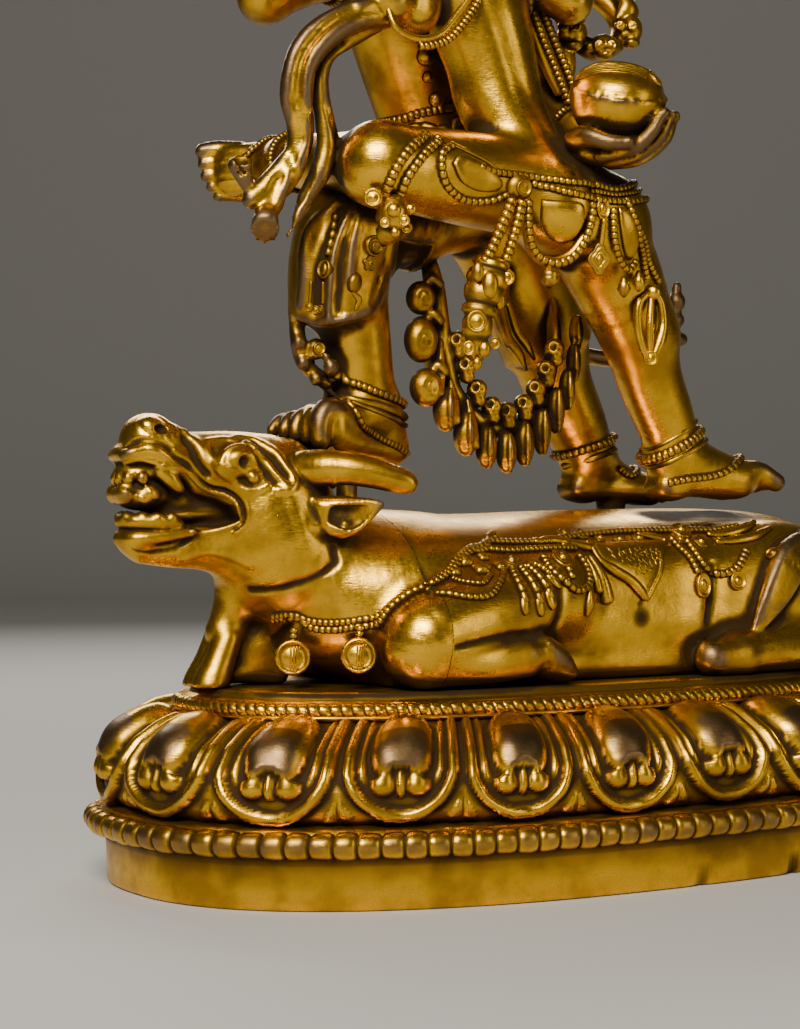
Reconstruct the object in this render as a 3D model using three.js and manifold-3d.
// A gilt bronze group: a wrathful deity and his consort embrace, standing on a lying buffalo,
// on an oval lotus base. Millimetres, +Z up. The origin is the middle of the base's underside,
// X runs along the base from the buffalo's head (-X) to its rump, and -Y is the side that the
// consort turns her back to.
import * as THREE from "three";
import { mergeVertices } from "three/addons/utils/BufferGeometryUtils.js";
import Module from "manifold-3d";

const wasm = await Module();
wasm.setup();

// Clearance between pieces that touch.
const GAP = 0.3;

// How far a trunk's end is crowned, as a share of its last section's half height.
const END_CROWN = 0.3;

// The lotus base: half sizes of the oval foot, and how square the oval is (2 is an ellipse).
const FOOT_HALF_LENGTH = 130;
const FOOT_HALF_WIDTH = 71.2;
const OVAL_POWER = 2.37;
const FOOT_HEIGHT = 14;
const BEAD_HEIGHT = 6.6;
const BEAD_REACH = 6.4;
const PETAL_COUNT = 20;
const PETAL_BOTTOM = 22;
const PETAL_TOP = 47;
const ROPE_TOP = 51.5;
const ROPE_INSET = 17.7;
const LEDGE_INSET = 22;
const PLATFORM_HEIGHT = 54;
const BAND_INSET = 5;
const FACES_PER_PETAL = 5;
const FACES_PER_OVAL = 38;

// The buffalo: its barrel, and where its head is.
const BACK_HEIGHT = 101.5;
const BARREL_HALF_WIDTH = 38;
const BUFFALO_BOTTOM = PLATFORM_HEIGHT + GAP;
const HEAD_TURN = THREE.MathUtils.degToRad(-6);

// The skeletons of the two figures: joint centres, and the girths of their limbs.
const HIM = {
  pelvis: [-14, 12, 195],
  waist: [-29, 12, 217],
  chest: [-36, 10, 251],
  collar: [-35, 9, 268],
  head: [-33, 4, 297],
  rightHip: [-22, 11, 191],
  rightKnee: [-66, -4, 178],
  rightAnkle: [-57, 0, 131],
  rightToes: [-84, 0, 124],
  leftHip: [-3, 14, 189],
  leftKnee: [20, 20, 152],
  leftAnkle: [37, 22, 118],
  leftToes: [70, 22, 107],
  rightShoulder: [-58, 11, 258],
  rightElbow: [-84, 9, 245],
  rightWrist: [-91, -4, 267],
  rightHand: [-92, -8, 277],
  leftShoulder: [-13, 10, 257],
  leftElbow: [2, 8, 229],
  leftWrist: [5, -24, 205],
  leftHand: [3, -42, 201],
};
const HER = {
  hips: [-7, -30, 185],
  waist: [-25, -22, 214],
  chest: [-36, -18, 250],
  collar: [-38, -16, 266],
  head: [-38, -18, 286],
  leftHip: [-16, -29, 191],
  leftKnee: [-69, -28, 195.5],
  leftAnkle: [-70, 21, 201],
  leftToes: [-80, 46, 201],
  rightHip: [0, -29, 184],
  rightKnee: [21, -25, 153],
  rightAnkle: [38, -20, 120],
  rightToes: [68, -20, 109],
  leftShoulder: [-53, -18, 256],
  leftElbow: [-65, -26, 240],
  leftWrist: [-57, -7, 258],
  leftHand: [-51, 0, 269],
  rightShoulder: [-22, -18, 256],
  rightElbow: [-2, -22, 247],
  rightWrist: [8, -20, 266],
  rightHand: [9, -20, 275],
};
const HIS_GIRTHS = { thigh: 14.5, knee: 12, calf: 10.6, ankle: 8.2, shoulder: 9.5, elbow: 7.4, wrist: 5.4 };
const HER_GIRTHS = { thigh: 13.6, knee: 10.4, calf: 9.6, ankle: 7, shoulder: 7.4, elbow: 6.2, wrist: 4.6 };

// The skull cup in his left hand, and the staff in his right.
const CUP = { centre: [-3, -48, 212.5], radius: 13.8, depth: 11.5, dome: 9, tilt: 0.3 };
const STAFF = { foot: 246, top: 322, radius: 1.9 };
const TOP_OF_HAIR = 342;

const gilt = new THREE.Color(0xc8952e);
const giltWorn = new THREE.Color(0xa9752a);

const point = ([x, y, z]) => new THREE.Vector3(x, y, z);
const between = (a, b, share) => point(a).lerp(point(b), share).toArray();
const shifted = ([x, y, z], [dx, dy, dz]) => [x + dx, y + dy, z + dz];

// A closed surface through rings of points that all turn the same way round the direction in
// which the rings follow each other. Each end closes on the middle point given for it.
function skin(rings, first, last) {
  const count = rings[0].length;
  const positions = [...rings.flat(), first, last].flatMap((p) => p.toArray());
  const start = rings.length * count;
  const end = start + 1;
  const index = [];
  for (let j = 0; j < count; j++) {
    const k = (j + 1) % count;
    index.push(start, k, j);
    for (let i = 0; i + 1 < rings.length; i++) {
      const low = i * count;
      const high = low + count;
      index.push(low + j, low + k, high + k);
      index.push(low + j, high + k, high + j);
    }
    const top = (rings.length - 1) * count;
    index.push(top + j, top + k, end);
  }
  return new THREE.BufferGeometry()
    .setAttribute("position", new THREE.Float32BufferAttribute(positions, 3))
    .setIndex(index);
}

// Geometry to a solid that can be joined and cut.
function solid(geometry) {
  const bare = geometry.clone();
  bare.deleteAttribute("normal");
  bare.deleteAttribute("uv");
  const merged = mergeVertices(bare, 1e-4);
  return new wasm.Manifold(
    new wasm.Mesh({
      numProp: 3,
      vertProperties: merged.getAttribute("position").array,
      triVerts: new Uint32Array(merged.index.array),
    }),
  );
}

const join = (geometries) => geometries.map(solid).reduce((whole, next) => whole.add(next));

// The largest body of a solid, without the crumbs and closed pockets that a cut or a join leaves.
function outer(shape) {
  const larger = (one, other) => (other.volume() > one.volume() ? other : one);
  return shape.decompose().reduce(larger);
}

// A curve through points that doesn't overshoot between them.
function smooth(values) {
  return new THREE.CatmullRomCurve3(values, false, "catmullrom", 0.5);
}

// A round limb, horn, cord or fold along a smooth path of stations [x, y, z, radius], with
// rounded ends. With `wide` given, the section keeps its full radius that way and `flat` of
// it across. `grow` makes the same form larger all round, to be cut from what touches it.
function limb(stations, { sides = 6, wide = null, flat = 1, grow = 0 } = {}) {
  const path = smooth(stations.map(point));
  const girth = smooth(stations.map((s) => new THREE.Vector3(s[3], 0, 0)));
  const count = stations.length - 1;
  let across = wide ? point(wide) : null;
  const ring = (t, ahead, share) => {
    const tangent = path.getTangent(t);
    across ??= Math.abs(tangent.y) < 0.8 ? new THREE.Vector3(0, 1, 0) : new THREE.Vector3(0, 0, 1);
    across = across.clone().addScaledVector(tangent, -across.dot(tangent)).normalize();
    const other = tangent.clone().cross(across).multiplyScalar(flat);
    const radius = girth.getPoint(t).x + grow;
    const end = ahead * radius * Math.max(flat, 0.6);
    const centre = path.getPoint(t).addScaledVector(tangent, end);
    return Array.from({ length: sides }, (_, k) => {
      const angle = (2 * Math.PI * k) / sides;
      return centre
        .clone()
        .addScaledVector(across, share * radius * Math.cos(angle))
        .addScaledVector(other, share * radius * Math.sin(angle));
    });
  };
  const rings = [
    ring(0, -0.5, 0.75),
    ...Array.from({ length: count + 1 }, (_, i) => ring(i / count, 0, 1)),
    ring(1, 0.5, 0.75),
  ];
  return skin(rings, ring(0, -0.8, 0)[0], ring(1, 0.8, 0)[0]);
}

// A trunk of upright or lying superellipse sections, [along, centre 1, centre 2, half 1, half 2],
// with a low point on each end.
function trunk(stations, { axis = "z", power = 2, sides = 10, grow = 0 } = {}) {
  const middle = smooth(stations.map(point));
  const girth = smooth(stations.map((s) => new THREE.Vector3(s[3], s[4], 0)));
  const count = stations.length - 1;
  const turn = ([along, one, two]) =>
    axis === "z" ? new THREE.Vector3(one, two, along) : new THREE.Vector3(along, one, two);
  const bulge = (value) => Math.sign(value) * Math.abs(value) ** (2 / power);
  const rings = [];
  for (let i = 0; i <= count; i++) {
    const centre = middle.getPoint(i / count);
    const half = girth.getPoint(i / count);
    const ends = i === 0 ? -grow : i === count ? grow : 0;
    rings.push(
      Array.from({ length: sides }, (_, k) => {
        const angle = (2 * Math.PI * (k + 0.5)) / sides;
        return turn([
          centre.x + ends,
          centre.y + (half.x + grow) * bulge(Math.cos(angle)),
          centre.z + (half.y + grow) * bulge(Math.sin(angle)),
        ]);
      }),
    );
  }
  const crowned = ([along, one, two, , half], way) =>
    turn([along + way * (END_CROWN * half + grow), one, two]);
  return skin(rings, crowned(stations[0], -1), crowned(stations.at(-1), 1));
}

// A trunk's upright section at a joint, or `rise` above it.
const section = ([x, y, z], halfX, halfY, rise = 0) => [z + rise, x, y, halfX, halfY];

// An ellipsoid.
function blob([x, y, z], [rx, ry, rz], { sides = 8, rows = 5, tilt = 0, grow = 0 } = {}) {
  return new THREE.SphereGeometry(1, sides, rows)
    .scale(rx + grow, rz + grow, ry + grow)
    .rotateX(Math.PI / 2)
    .rotateY(tilt)
    .translate(x, y, z);
}

// A string of beads or heads along a smooth path: thick at each middle and thin between.
function strand(stations, count, [thick, thin], options) {
  const path = smooth(stations.map(point));
  const places = Array.from({ length: 2 * count + 1 }, (_, k) => [
    ...path.getPointAt(k / (2 * count)).toArray(),
    k % 2 ? thick : thin,
  ]);
  return limb(places, options);
}

// A broad ring round a limb: its middle, the direction of the limb, its radius and its height.
function cuff(centre, along, radius, height, { grow = 0, sides = 8 } = {}) {
  const lie = new THREE.Quaternion().setFromUnitVectors(
    new THREE.Vector3(0, 1, 0),
    point(along).normalize(),
  );
  return new THREE.CylinderGeometry(radius + grow, radius + grow, height + 2 * grow, sides)
    .applyQuaternion(lie)
    .translate(...centre);
}

// The oval plan of the base, from its -X end round by -Y, with both half sizes moved out.
class Oval extends THREE.Curve {
  constructor(outward) {
    super();
    this.outward = outward;
    this.arcLengthDivisions = 2000;
  }

  getPoint(t) {
    const angle = Math.PI * (1 + 2 * t);
    const bend = (value) => Math.sign(value) * Math.abs(value) ** (2 / OVAL_POWER);
    return new THREE.Vector3(
      (FOOT_HALF_LENGTH + this.outward) * bend(Math.cos(angle)),
      (FOOT_HALF_WIDTH + this.outward) * bend(Math.sin(angle)),
      0,
    );
  }
}

// Places spread evenly round the middle of the petal band, as curve parameters.
function evenPlaces(count) {
  const middle = new Oval(-BAND_INSET);
  return Array.from({ length: count }, (_, k) => middle.getUtoTmapping(k / count));
}

// Mouldings: rings [outward, height] stacked on the oval plan.
function mouldings(profile, count) {
  const places = evenPlaces(count);
  const rings = profile.map(([outward, height]) => {
    const plan = new Oval(outward);
    return places.map((t) => plan.getPoint(t).setZ(height));
  });
  const centre = (height) => new THREE.Vector3(0, 0, height);
  return skin(rings, centre(profile[0][1]), centre(profile.at(-1)[1]));
}

// The band of lotus petals: each swells into a bulb, curls out at its tip and leaves a furrow
// to its neighbours.
function petalBand() {
  const count = PETAL_COUNT * FACES_PER_PETAL;
  const places = evenPlaces(count);
  const height = PETAL_TOP - PETAL_BOTTOM;
  const rows = [
    { rise: -0.04, swell: -2.5, furrow: 5 },
    { rise: 0.1, swell: 0.5, furrow: 4.5 },
    { rise: 0.48, swell: 0, furrow: 3.6 },
    { rise: 0.8, swell: -7, furrow: 2 },
    { rise: 1.06, swell: -16.5, furrow: 0.5 },
  ];
  const rings = rows.map(({ rise, swell, furrow }) =>
    places.map((t, k) => {
      const phase = (k / FACES_PER_PETAL) * 2 * Math.PI;
      const dip = Math.max(0, Math.cos(phase)) ** 2;
      return new Oval(swell - furrow * dip).getPoint(t).setZ(PETAL_BOTTOM + height * rise);
    }),
  );
  const centre = (ring) => new THREE.Vector3(0, 0, ring[0].z);
  return skin(rings, centre(rings[0]), centre(rings.at(-1)));
}

function lotusBase() {
  const beadMiddle = FOOT_HEIGHT + BEAD_HEIGHT / 2;
  const beadTop = FOOT_HEIGHT + BEAD_HEIGHT;
  const foot = mouldings(
    [
      [0, 0],
      [0, FOOT_HEIGHT - 1],
      [BEAD_REACH - 2, FOOT_HEIGHT + 0.6],
      [BEAD_REACH, beadMiddle],
      [BEAD_REACH - 2, beadTop - 0.6],
      [-6, PETAL_BOTTOM + 1],
      [-LEDGE_INSET, PETAL_TOP - 4],
      [-ROPE_INSET - 2.5, PETAL_TOP],
      [-ROPE_INSET, (PETAL_TOP + ROPE_TOP) / 2],
      [-ROPE_INSET - 1.5, ROPE_TOP],
      [-LEDGE_INSET, ROPE_TOP + 1],
      [-LEDGE_INSET - 1.5, PLATFORM_HEIGHT],
    ],
    FACES_PER_OVAL,
  );
  return join([foot, petalBand()]);
}

// A leg from hip to ankle, with a fuller calf.
function leg(hip, knee, ankle, girths, options) {
  return limb(
    [
      [...hip, girths.thigh],
      [...between(hip, knee, 0.55), girths.thigh * 0.9],
      [...knee, girths.knee],
      [...between(knee, ankle, 0.4), girths.calf],
      [...ankle, girths.ankle],
    ],
    { sides: 7, ...options },
  );
}

// A bare foot from the ankle to the toes, wide and low, with the heel below the ankle.
function foot(ankle, toes, width, wide, options) {
  const heel = [ankle[0] - 0.12 * (toes[0] - ankle[0]), ankle[1], toes[2] + 1];
  return [
    limb(
      [
        [...heel, width * 0.85],
        [...between(heel, toes, 0.5), width * 0.95],
        [...toes, width],
      ],
      { wide, flat: 0.7, ...options },
    ),
    limb(
      [
        [...ankle, width * 0.95],
        [...between(heel, toes, 0.62), width * 0.62],
      ],
      options,
    ),
  ];
}

// An arm from shoulder to hand, with a bracelet.
function arm(shoulder, elbow, wrist, hand, girths, options) {
  return [
    limb(
      [
        [...shoulder, girths.shoulder],
        [...between(shoulder, elbow, 0.5), girths.shoulder * 0.86],
        [...elbow, girths.elbow],
        [...between(elbow, wrist, 0.5), girths.elbow * 0.95],
        [...wrist, girths.wrist],
        [...hand, girths.wrist * 1.15],
      ],
      options,
    ),
    cuff(wrist, shifted(wrist, elbow.map((v) => -v)), girths.wrist * 1.4, 3.6, options),
  ];
}

// The lying buffalo: barrel, thighs and hocks, the near foreleg folded under, the other foreleg
// reaching forward, brisket, saddle, neck, tail, and the raised head.
function buffaloForms(grow = 0) {
  const middle = (BACK_HEIGHT + BUFFALO_BOTTOM - 3) / 2;
  const half = BACK_HEIGHT - middle;
  const wide = BARREL_HALF_WIDTH;
  const barrel = trunk(
    [
      [-86, -3, 73, 12, 11],
      [-76, -3, 76, 24, 18],
      [-56, -2, middle, wide - 5, half - 1.5],
      [-20, 0, middle, wide, half - 1],
      [20, 0, middle, wide, half],
      [62, 0, middle, wide, half],
      [88, 0, middle - 1, wide - 5, half - 2],
      [100, 0, middle - 3, wide - 17, half - 8],
    ],
    { axis: "x", power: 2.3, sides: 12, grow },
  );
  const thigh = (side) => blob([66, side * 29, 76], [31, 13, 21], { grow });
  const haunch = (side) =>
    limb(
      [
        [78, side * 36, 62, 7],
        [60, side * 40, 61, 6.5],
        [46, side * 41.5, 60.5, 6],
      ],
      { grow },
    );
  const nearForearm = limb(
    [
      [-18, -34, 76, 11],
      [-44, -36, 72, 12.5],
      [-64, -37, 68, 11],
    ],
    { sides: 8, grow },
  );
  const nearCannon = limb(
    [
      [-62, -38, 63, 7],
      [-40, -41, 61, 5.8],
      [-25, -42.5, 61.5, 6.4],
      [-19, -43, 60, 6],
    ],
    { grow },
  );
  const foreleg = limb(
    [
      [-90, 2, 88, 9],
      [-97, 1, 79.5, 6.6],
      [-101, 1, 70, 5.2],
      [-104, 1.5, 63, 4.6],
      [-106, 2, 57, 5.4],
    ],
    { grow },
  );
  const brisket = blob([-88, 6, 63], [12, 10, 10], { grow });
  const saddle = blob([52, -18, 99], [24, 12, 6], { sides: 8, rows: 4, grow });
  const neck = limb(
    [
      [-50, -2, 79, 21],
      [-72, -3, 83, 20.5],
      [-88, -4, 93, 18.5],
      [-95, -4, 105, 15.5],
    ],
    { sides: 8, grow },
  );
  const tail = limb(
    [
      [98, -4, 88, 3.5],
      [93, -24, 94, 3.2],
      [78, -35, 95, 3.4],
      [66, -40, 88, 6],
      [56, -42, 76, 5.5],
      [49, -42.5, 65, 2],
    ],
    { wide: [1, 0, -0.6], flat: 0.7, grow },
  );
  return [
    barrel,
    thigh(-1),
    thigh(1),
    haunch(-1),
    haunch(1),
    nearForearm,
    nearCannon,
    foreleg,
    brisket,
    saddle,
    neck,
    tail,
    ...buffaloHead(grow),
    ...harness(grow),
  ];
}

// The buffalo's head: upper and lower jaw with the tongue between them, and on each side a horn,
// an ear and an eye, all turned a little about the poll.
function buffaloHead(grow) {
  const poll = [-90, -5, 108];
  const set = (geometry) =>
    geometry
      .translate(...poll.map((v) => -v))
      .rotateZ(HEAD_TURN)
      .translate(...poll);
  const upper = limb(
    [
      [-91, -5, 108.5, 14],
      [-103, -5, 112, 11.6],
      [-114, -5, 114.5, 9.4],
      [-124, -5, 118, 9.6],
      [-129, -5, 116, 7.4],
    ],
    { sides: 8, wide: [0, 1, 0], flat: 0.96, grow },
  );
  const lower = limb(
    [
      [-90, -5, 99, 14.5],
      [-104, -5, 94.5, 10],
      [-117, -5, 93, 7],
      [-127, -5, 93.5, 5.8],
    ],
    { sides: 8, wide: [0, 1, 0], flat: 0.95, grow },
  );
  const tongue = blob([-114, -5, 101], [12, 5, 2.6], { tilt: 0.1, grow });
  const pairs = [-1, 1].flatMap((side) => [
    limb(
      [
        [-93, -5 + side * 10, 114, 5.4],
        [-84, -5 + side * 17, 115.5, 5],
        [-74, -5 + side * 23, 113.5, 4.4],
        [-66, -5 + side * 26, 109, 2.6],
        [-62, -5 + side * 27, 106.5, 1.2],
      ],
      { grow },
    ),
    limb(
      [
        [-88, -5 + side * 15, 101, 3.6],
        [-79, -5 + side * 23, 102.5, 4.6],
        [-72, -5 + side * 28, 103.5, 1.6],
      ],
      { wide: [0, 0, 1], flat: 0.6, grow },
    ),
    blob([-104, -5 + side * 9.5, 117], [5.5, 4, 4.5], { sides: 7, rows: 4, grow }),
  ]);
  return [upper, lower, tongue, ...pairs].map(set);
}

// The buffalo's trappings: a neck strap with round drops, and on the near flank two swags of
// drops and a pointed cloth.
function harness(grow) {
  const thin = { sides: 4, grow };
  const collar = limb(
    [
      [-90, -10, 73, 1.8],
      [-80, -22, 70, 2],
      [-66, -35, 76, 2],
      [-52, -35, 88, 2],
      [-42, -28, 96, 2],
    ],
    thin,
  );
  const drop = (place) => blob(place, [4.8, 2.4, 4.8], { sides: 6, rows: 3, grow });
  const swag = (from, to) =>
    limb(
      [
        [from, -29, 97, 2.4],
        [(from + to) / 2, -38.5, 80, 3],
        [to, -29, 97, 2.4],
      ],
      thin,
    );
  const cloth = limb(
    [
      [13, -28, 97, 12],
      [13, -38.6, 79, 2],
    ],
    { wide: [1, 0, 0], flat: 0.3, grow },
  );
  return [collar, drop([-86, -13, 64]), drop([-70, -28, 65]), swag(-44, -8), swag(26, 52), cloth];
}

// The deity: body, bent right leg, stretched left leg, arms, crowned head and upswept hair.
function hisForms(grow = 0) {
  const body = trunk(
    [
      section(HIM.pelvis, 15, 11, -11),
      section(HIM.pelvis, 20.5, 15),
      section(HIM.waist, 15.5, 12.5),
      section(HIM.chest, 19, 13, -15),
      section(HIM.chest, 23, 13.5),
      section(HIM.collar, 20, 11, -6),
      section(HIM.collar, 11, 9),
    ],
    { power: 2.2, grow },
  );
  const [headX, headY, headZ] = HIM.head;
  const neck = limb([[...HIM.collar, 8.5], [headX, headY + 3, headZ - 12, 7.5]], { grow });
  const face = [
    blob(HIM.head, [13, 14, 15.5], { grow }),
    blob([headX, headY - 4, headZ - 9], [9, 9, 7], { grow }),
    blob([headX, headY - 13.6, headZ - 1.5], [2.8, 3, 3.4], { sides: 5, rows: 3, grow }),
    ...[-1, 1].map((side) => {
      const ear = [headX + side * 13, headY + 1, headZ - 3];
      return blob(ear, [2.4, 3, 6], { sides: 5, rows: 3, grow });
    }),
  ];
  const hair = limb(
    [
      [headX, headY + 2, headZ + 7, 14],
      [headX, headY + 3, headZ + 21, 14.5],
      [headX + 1, headY + 3, headZ + 34, 9],
      [headX, headY + 4, TOP_OF_HAIR - 1.5, 1.6],
    ],
    { sides: 8, grow },
  );
  const crown = Array.from({ length: 5 }, (_, k) => {
    const angle = -Math.PI / 2 + ((k - 2) * Math.PI) / 4.6;
    const skull = [headX + 13.6 * Math.cos(angle), headY + 1 + 14 * Math.sin(angle), headZ + 12.5];
    return blob(skull, [3.4, 3.4, 6.4], { sides: 6, rows: 4, grow });
  });
  const options = { grow };
  return [
    body,
    neck,
    ...face,
    hair,
    ...crown,
    leg(HIM.rightHip, HIM.rightKnee, HIM.rightAnkle, HIS_GIRTHS, options),
    leg(HIM.leftHip, HIM.leftKnee, HIM.leftAnkle, HIS_GIRTHS, options),
    ...foot(HIM.rightAnkle, HIM.rightToes, 8.4, [0, 1, 0], options),
    ...foot(HIM.leftAnkle, HIM.leftToes, 8.4, [0, 1, 0], options),
    ...arm(HIM.rightShoulder, HIM.rightElbow, HIM.rightWrist, HIM.rightHand, HIS_GIRTHS, options),
    ...arm(HIM.leftShoulder, HIM.leftElbow, HIM.leftWrist, HIM.leftHand, HIS_GIRTHS, options),
    ...hisDress(grow),
    ...garland(grow),
    ...cup(grow),
    ...staff(grow),
  ];
}

// His tiger-skin cloth over the right knee, belt, anklets and the curled end of his scarf.
function hisDress(grow) {
  const [kneeX, kneeY, kneeZ] = HIM.rightKnee;
  const cloth = limb(
    [
      [...between(HIM.rightHip, HIM.rightKnee, 0.5), 15.2],
      [kneeX - 1, kneeY - 1, kneeZ + 1, 14],
      [kneeX - 3, kneeY - 2, kneeZ - 11, 13.4],
      [kneeX - 2, kneeY - 1, kneeZ - 19, 13],
    ],
    { sides: 7, grow },
  );
  const clothEnd = limb(
    [
      [kneeX - 14, kneeY - 4, kneeZ - 8, 4],
      [kneeX - 14, kneeY - 2, kneeZ - 24, 4.2],
      [kneeX - 10, kneeY, kneeZ - 40, 2.6],
    ],
    { grow },
  );
  const leftCloth = limb(
    [
      [...HIM.leftHip, 15.5],
      [...between(HIM.leftHip, HIM.leftKnee, 0.5), 14.8],
      [...between(HIM.leftHip, HIM.leftKnee, 0.95), 13.6],
    ],
    { sides: 7, grow },
  );
  const belt = cuff(HIM.waist, [-0.3, 0, 1], 17, 6, { sides: 12, grow });
  const anklets = [HIM.rightAnkle, HIM.leftAnkle].map((ankle) =>
    cuff(shifted(ankle, [0, 0, 4]), [-0.3, 0.2, 1], HIS_GIRTHS.ankle + 3, 7, { grow }),
  );
  const curl = limb(
    [
      [28, 27, 152, 4],
      [50, 29, 149, 4],
      [66, 26, 152, 4.4],
      [73, 23, 162, 3.8],
      [71, 22, 170, 1.8],
    ],
    { wide: [0, 1, 0], flat: 0.6, grow },
  );
  const tangs = [
    limb([[-63, 0, 96, 3], [-63, 0, 120, 3]], { grow }),
    limb([[46, 22, 88, 4.5], [46, 22, 104, 4.5]], { grow }),
  ];
  return [cloth, clothEnd, leftCloth, belt, ...anklets, curl, ...tangs];
}

// The lower loop of his long garland, between his legs: an outer row of heads and an inner row
// of skulls.
function garland(grow) {
  const low = [
    [-40, -2, 172],
    [-43, -3, 156],
    [-41, -5, 138],
    [-31, -7, 123],
    [-15, -8, 116],
    [1, -7, 122],
    [9, -5, 138],
    [10, -2, 156],
    [7, 2, 172],
  ];
  const middle = [-16, 0, 152];
  const inwards = 0.27;
  const inner = low.slice(1, -1).map(([x, y, z]) => {
    const [nearX, , nearZ] = between([x, y, z], middle, inwards);
    return [nearX, y - 1, nearZ];
  });
  return [
    strand(low, 14, [5.6, 3], { sides: 5, grow }),
    strand(inner, 9, [3.6, 2], { sides: 4, grow }),
  ];
}

// The skull cup: a bowl with a smooth rim and a heaped, domed content.
function cup(grow) {
  const { centre, radius, depth, dome, tilt } = CUP;
  const profile = [
    [0, -depth - grow],
    [radius * 0.6, -depth * 0.8 - grow],
    [radius + grow, -1],
    [radius + grow, 1.4],
    [radius * 0.72 + grow, dome * 0.7],
    [0, dome + grow],
  ].map(([x, y]) => new THREE.Vector2(x, y));
  return [
    new THREE.LatheGeometry(profile, 10)
      .rotateX(Math.PI / 2)
      .rotateY(tilt)
      .translate(...centre),
  ];
}

// The staff in his raised right hand, topped with a skull.
function staff(grow) {
  const [x, y] = HIM.rightHand;
  return [
    limb([[x, y, STAFF.foot, STAFF.radius], [x, y, STAFF.top, STAFF.radius]], { grow }),
    blob([x, y, STAFF.top], [5, 5.4, 6.2], { rows: 6, grow }),
    blob([x, y, STAFF.top - 9], [3.4, 3.4, 2], { rows: 4, grow }),
  ];
}

// The consort: back to the front, left leg round his side, right leg along his left leg.
function herForms(grow = 0) {
  const body = trunk(
    [
      section(HER.hips, 14, 12, -9),
      section(HER.hips, 18.5, 15.5),
      section(between(HER.hips, HER.waist, 0.4), 16.5, 14),
      section(HER.waist, 13.2, 12),
      section(between(HER.waist, HER.chest, 0.3), 12.4, 11.2),
      section(HER.chest, 16, 12),
      section(HER.collar, 14, 9, -5),
      section(HER.collar, 8, 7),
    ],
    { power: 2.1, grow },
  );
  const buttocks = [
    blob([-16, -35, 186], [13.5, 12, 13], { grow }),
    blob([1, -35, 181], [13.5, 12, 14], { grow }),
  ];
  const [headX, headY, headZ] = HER.head;
  const neck = limb([[...HER.collar, 6], [headX, headY - 1, headZ - 9, 5.8]], { grow });
  const head = [
    blob(HER.head, [11, 12, 13], { grow }),
    blob([headX, headY - 3, headZ + 14], [7.5, 7.5, 8], { grow }),
    blob([headX, headY - 3, headZ + 22], [3, 3, 4], { sides: 5, rows: 4, grow }),
  ];
  const crown = cuff([headX, headY, headZ + 8], [0, 0.2, 1], 12.4, 4, { sides: 10, grow });
  const options = { grow };
  return [
    body,
    ...buttocks,
    neck,
    ...head,
    crown,
    leg(HER.leftHip, HER.leftKnee, HER.leftAnkle, { ...HER_GIRTHS, calf: 8.4 }, options),
    leg(HER.rightHip, HER.rightKnee, HER.rightAnkle, { ...HER_GIRTHS, thigh: 14.4 }, options),
    ...foot(HER.rightAnkle, HER.rightToes, 7, [0, 1, 0], options),
    ...foot(HER.leftAnkle, HER.leftToes, 7.6, [0, 0, 1], options),
    ...arm(HER.leftShoulder, HER.leftElbow, HER.leftWrist, HER.leftHand, HER_GIRTHS, options),
    ...arm(HER.rightShoulder, HER.rightElbow, HER.rightWrist, HER.rightHand, HER_GIRTHS, options),
    ...herJewels(grow),
    ...scarf(grow),
    ...chopper(grow),
  ];
}

// Her girdle with its festoons and tassels, and her anklets.
function herJewels(grow) {
  const thin = { sides: 4, grow };
  const girdle = limb(
    [
      [-55, -40, 200, 2],
      [-46, -44, 195, 2],
      [-34, -47, 192, 2],
      [-12, -48.5, 193, 2],
      [4, -44, 195, 2],
      [11, -30, 197, 2],
    ],
    thin,
  );
  const festoons = [
    [[-55, -39, 199], [-54, -42, 189], [-45, -46, 185], [-37, -47, 189]],
    [[-34, -48, 188], [-30, -49, 174], [-20, -49, 169], [-10, -48, 178], [-6, -47, 189]],
    [[-3, -46, 189], [3, -45, 175], [11, -40, 171], [13, -34, 184]],
  ].map((route) => limb(route.map((p) => [...p, 1.4]), thin));
  const tassels = [
    [[-36, -46, 188, 2.4], [-43, -45, 173, 3.2], [-48, -45, 160, 4.8], [-50, -45, 149, 3.4]],
    [[-57, -38, 201, 2.4], [-66, -40, 194, 3.2], [-71, -40, 183, 4.6], [-73, -38, 173, 3.4]],
    [[-6, -45, 188, 2.2], [8, -41, 174, 2.6], [16, -38, 160, 3.2], [19, -36, 149, 3]],
  ].map((route) => limb(route, { grow }));
  const rosette = blob([-36, -48, 191], [4.4, 2.4, 4.4], { sides: 7, rows: 4, grow });
  const pendant = blob([-25, -50, 167], [2.6, 2, 4.6], { sides: 5, rows: 4, grow });
  const ankle = shifted(HER.rightAnkle, [-2, 0, 4]);
  const anklet = cuff(ankle, [-0.4, 0.1, 1], HER_GIRTHS.ankle + 2.4, 5, { grow });
  return [girdle, ...festoons, ...tassels, rosette, pendant, anklet];
}

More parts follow.
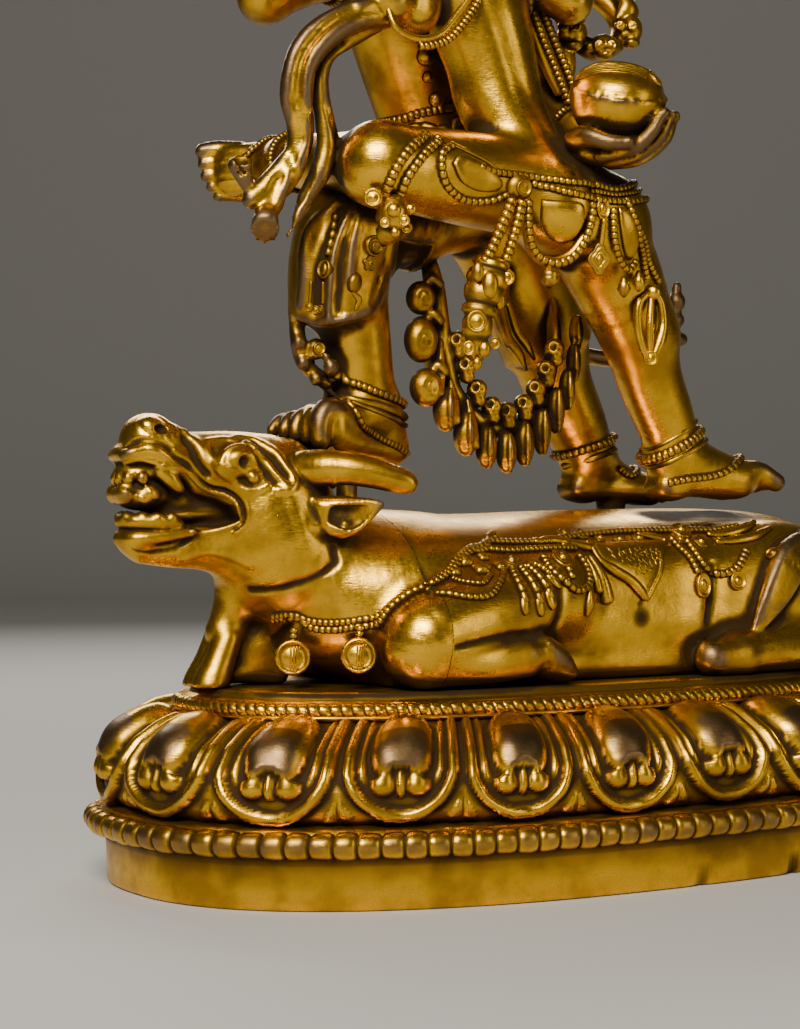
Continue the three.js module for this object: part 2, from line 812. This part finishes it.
// The long scarf that falls from her elbow past the knee and forks into two curled ends.
function scarf(grow) {
  const strip = { wide: [1, -0.5, 0], flat: 0.4, sides: 8, grow };
  return [
    limb(
      [
        [-62, -27, 240, 5],
        [-76, -26, 232, 6],
        [-87, -24, 222, 6.6],
        [-91, -22, 208, 6],
        [-90, -20, 194, 5.6],
        [-95, -19, 184, 5.4],
        [-99, -19, 177, 4.6],
      ],
      strip,
    ),
    limb(
      [
        [-64, -25, 238, 4],
        [-78, -23, 224, 4.2],
        [-83, -21, 210, 4],
        [-80, -20, 198, 3.6],
        [-82, -20, 188, 3],
      ],
      strip,
    ),
    limb(
      [
        [-92, -20, 186, 3.4],
        [-101, -19, 184, 3],
        [-107, -18, 192, 3.8],
      ],
      { ...strip, sides: 6 },
    ),
  ];
}

// The curved chopper in her raised right hand.
function chopper(grow) {
  const [x, y, z] = HER.rightHand;
  return [
    limb([[x, y, z - 6, 1.8], [x, y, z + 17, 1.8]], { grow }),
    limb(
      [
        [x - 10, y, z + 15, 1.6],
        [x - 4, y, z + 19, 4],
        [x + 4, y, z + 19, 4],
        [x + 12, y, z + 13, 1.4],
      ],
      { wide: [0, 0, 1], flat: 0.35, grow },
    ),
  ];
}

function mesh(name, shape, colour, roughness) {
  const { numProp, vertProperties, triVerts } = shape.getMesh();
  const geometry = new THREE.BufferGeometry()
    .setAttribute("position", new THREE.BufferAttribute(vertProperties.slice(), numProp))
    .setIndex(new THREE.BufferAttribute(triVerts.slice(), 1));
  geometry.computeVertexNormals();
  const material = new THREE.MeshStandardMaterial({ color: colour, roughness, metalness: 1 });
  const result = new THREE.Mesh(geometry, material);
  result.name = name;
  return result;
}

// Everything below the platform, which the buffalo's flat underside keeps clear of.
const BLOCK = { side: 400, height: 80 };
const belowPlatform = solid(
  new THREE.BoxGeometry(BLOCK.side, BLOCK.side, BLOCK.height).translate(
    0,
    0,
    BUFFALO_BOTTOM - BLOCK.height / 2,
  ),
);

const buffalo = outer(join(buffaloForms()).subtract(belowPlatform));
const him = outer(join(hisForms()).subtract(join(buffaloForms(GAP))));
const her = outer(
  join(herForms())
    .subtract(join(hisForms(GAP)))
    .subtract(join(buffaloForms(GAP))),
);

const statue = new THREE.Group();
statue.add(mesh("lotus_base", lotusBase(), gilt, 0.34));
statue.add(mesh("buffalo", buffalo, gilt, 0.32));
statue.add(mesh("raktayamari", him, giltWorn, 0.36));
statue.add(mesh("consort", her, gilt, 0.3));

export default statue;
